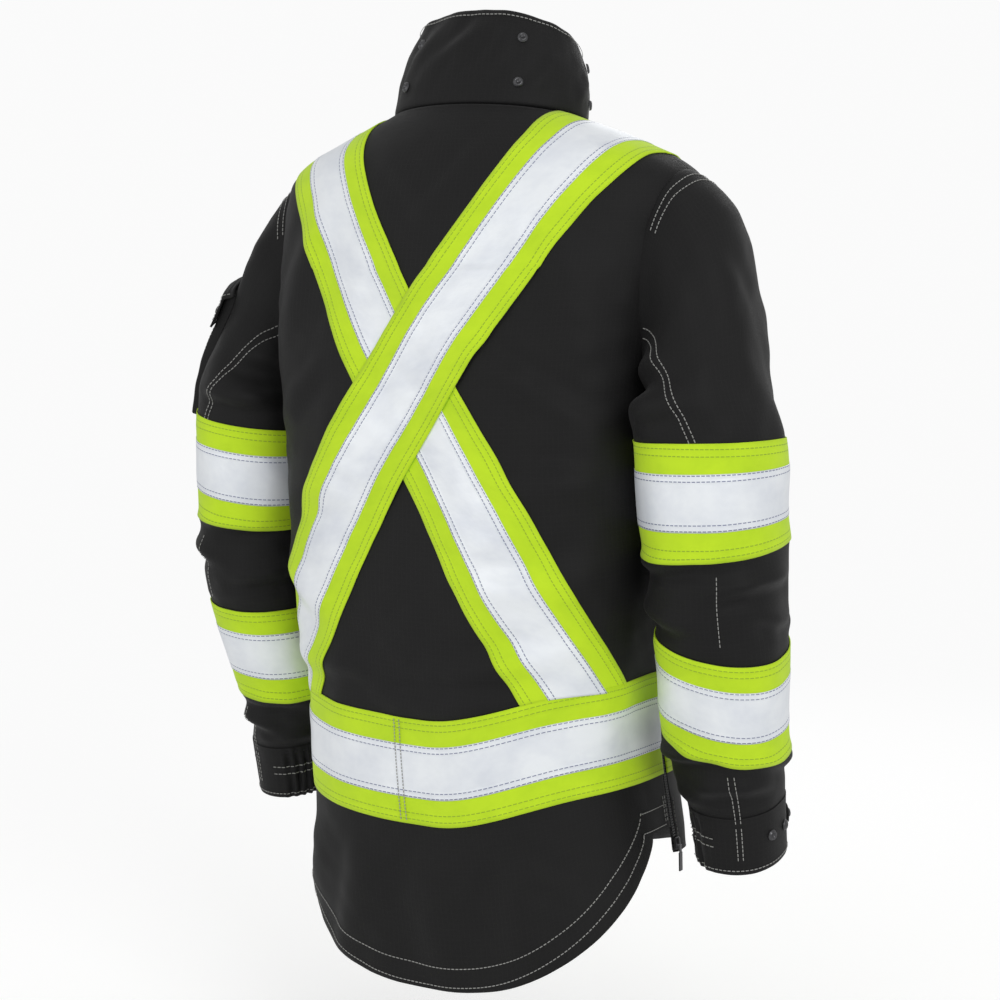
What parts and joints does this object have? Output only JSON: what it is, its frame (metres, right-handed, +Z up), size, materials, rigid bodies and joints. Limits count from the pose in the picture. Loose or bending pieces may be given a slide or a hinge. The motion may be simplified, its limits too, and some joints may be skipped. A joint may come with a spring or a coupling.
{
  "type": "turnout coat",
  "caption": "Black high-visibility rescue coat with a stand collar, crossed back tapes, banded sleeves and a rounded drop tail.",
  "frame": {"origin": "middle of the neck opening, level with the collar seam at the back", "axes": "+Z up along the wearer's spine, -Y out of the coat's front, +X to the wearer's left"},
  "size_m": [0.6518, 0.2939, 0.9104],
  "materials": {
    "shell_fabric": "matte ripstop weave",
    "lining_fabric": "quilted taffeta",
    "lime_tape": "matte fluorescent knit",
    "silver_tape": "retroreflective",
    "zip_plastic": "moulded teeth",
    "zip_metal": "dark plated"
  },
  "bodies": {
    "torso": {"back_panel": "shell_fabric", "tail_panel": "shell_fabric", "left_side_panel": "shell_fabric", "right_side_panel": "shell_fabric", "left_front_yoke": "shell_fabric", "right_front_yoke": "shell_fabric", "body_lining": "lining_fabric", "collar": "shell_fabric", "left_shoulder_lime": "lime_tape", "left_shoulder_silver": "silver_tape", "right_shoulder_lime": "lime_tape", "right_shoulder_silver": "silver_tape", "waist_back_lime": "lime_tape", "waist_back_silver": "silver_tape", "left_side_lime": "lime_tape", "left_side_silver": "silver_tape", "right_side_lime": "lime_tape", "right_side_silver": "silver_tape", "hanger_loop": "lining_fabric", "left_vent_zip": "zip_plastic", "right_vent_zip": "zip_plastic", "left_pocket_welt": "shell_fabric", "right_pocket_welt": "shell_fabric"},
    "storm_flap": {"storm_flap": "shell_fabric"},
    "main_slider": {"main_slider": "zip_metal", "main_pull": "zip_metal"},
    "sleeve_pocket_flap": {"sleeve_pocket_flap": "shell_fabric"},
    "left_front": {"left_front_panel": "shell_fabric", "left_front_lining": "lining_fabric", "left_front_tape_lime": "lime_tape", "left_front_tape_silver": "silver_tape", "left_front_waist_lime": "lime_tape", "left_front_waist_silver": "silver_tape", "left_zip_chain": "zip_plastic"},
    "left_upper_arm": {"left_upper_sleeve": "shell_fabric", "left_upper_band_lime": "lime_tape", "left_upper_band_silver": "silver_tape", "sleeve_pocket": "shell_fabric"},
    "left_forearm": {"left_lower_sleeve": "shell_fabric", "left_cuff": "shell_fabric", "left_lower_band_lime": "lime_tape", "left_lower_band_silver": "silver_tape"},
    "left_cuff_tab": {"left_cuff_tab": "shell_fabric"},
    "left_vent_slider": {"left_vent_slider": "zip_metal"},
    "right_front": {"right_front_panel": "shell_fabric", "right_front_lining": "lining_fabric", "right_front_tape_lime": "lime_tape", "right_front_tape_silver": "silver_tape", "right_front_waist_lime": "lime_tape", "right_front_waist_silver": "silver_tape", "right_zip_chain": "zip_plastic"},
    "right_upper_arm": {"right_upper_sleeve": "shell_fabric", "right_upper_band_lime": "lime_tape", "right_upper_band_silver": "silver_tape"},
    "right_forearm": {"right_lower_sleeve": "shell_fabric", "right_cuff": "shell_fabric", "right_lower_band_lime": "lime_tape", "right_lower_band_silver": "silver_tape"},
    "right_cuff_tab": {"right_cuff_tab": "shell_fabric"},
    "right_vent_slider": {"right_vent_slider": "zip_metal"}
  },
  "joints": [
    {"name": "left_shoulder_raise", "type": "hinge", "parent": "torso", "child": "left_upper_arm", "pos_m": [0.195, 0.006, -0.055], "axis": [0, -1, 0], "range_deg": [0, 80]},
    {"name": "left_elbow_bend", "type": "hinge", "parent": "left_upper_arm", "child": "left_forearm", "pos_m": [0.26, -0.0505, -0.4285], "axis": [-1, 0, 0], "range_deg": [0, 100]},
    {"name": "left_cuff_tab_lift", "type": "hinge", "parent": "left_forearm", "child": "left_cuff_tab", "pos_m": [0.257, -0.0705, -0.668], "axis": [0, 0, -1], "range_deg": [0, 100]},
    {"name": "left_vent_zip_run", "type": "slide", "parent": "torso", "child": "left_vent_slider", "axis": [-0.0577, 0, 0.9983], "range_m": [0, 0.145]},
    {"name": "right_shoulder_raise", "type": "hinge", "parent": "torso", "child": "right_upper_arm", "pos_m": [-0.195, 0.006, -0.055], "axis": [0, 1, 0], "range_deg": [0, 80]},
    {"name": "right_elbow_bend", "type": "hinge", "parent": "right_upper_arm", "child": "right_forearm", "pos_m": [-0.26, -0.0505, -0.4285], "axis": [-1, 0, 0], "range_deg": [0, 100]},
    {"name": "right_cuff_tab_lift", "type": "hinge", "parent": "right_forearm", "child": "right_cuff_tab", "pos_m": [-0.257, -0.0705, -0.668], "axis": [0, 0, 1], "range_deg": [0, 100]},
    {"name": "right_vent_zip_run", "type": "slide", "parent": "torso", "child": "right_vent_slider", "axis": [0.0577, 0, 0.9983], "range_m": [0, 0.145]},
    {"name": "left_front_open", "type": "hinge", "parent": "torso", "child": "left_front", "pos_m": [0.15, -0.118, -0.43], "axis": [0, 0, 1], "range_deg": [0, 75]},
    {"name": "right_front_open", "type": "hinge", "parent": "torso", "child": "right_front", "pos_m": [-0.15, -0.118, -0.43], "axis": [0, 0, -1], "range_deg": [0, 75]},
    {"name": "storm_flap_open", "type": "hinge", "parent": "left_front", "child": "storm_flap", "pos_m": [0.026, -0.1402, -0.43], "axis": [0, 0, 1], "range_deg": [0, 150]},
    {"name": "main_zip_run", "type": "slide", "parent": "left_front", "child": "main_slider", "axis": [0, 0, 1], "range_m": [-0.53, 0]},
    {"name": "pocket_flap_lift", "type": "hinge", "parent": "left_upper_arm", "child": "sleeve_pocket_flap", "pos_m": [0.278, 0.016, -0.155], "axis": [0, -1, 0], "range_deg": [0, 120]}
  ],
  "couplings": [
    {"joint": "right_front_open", "follows": "left_front_open", "ratio": 1}
  ]
}
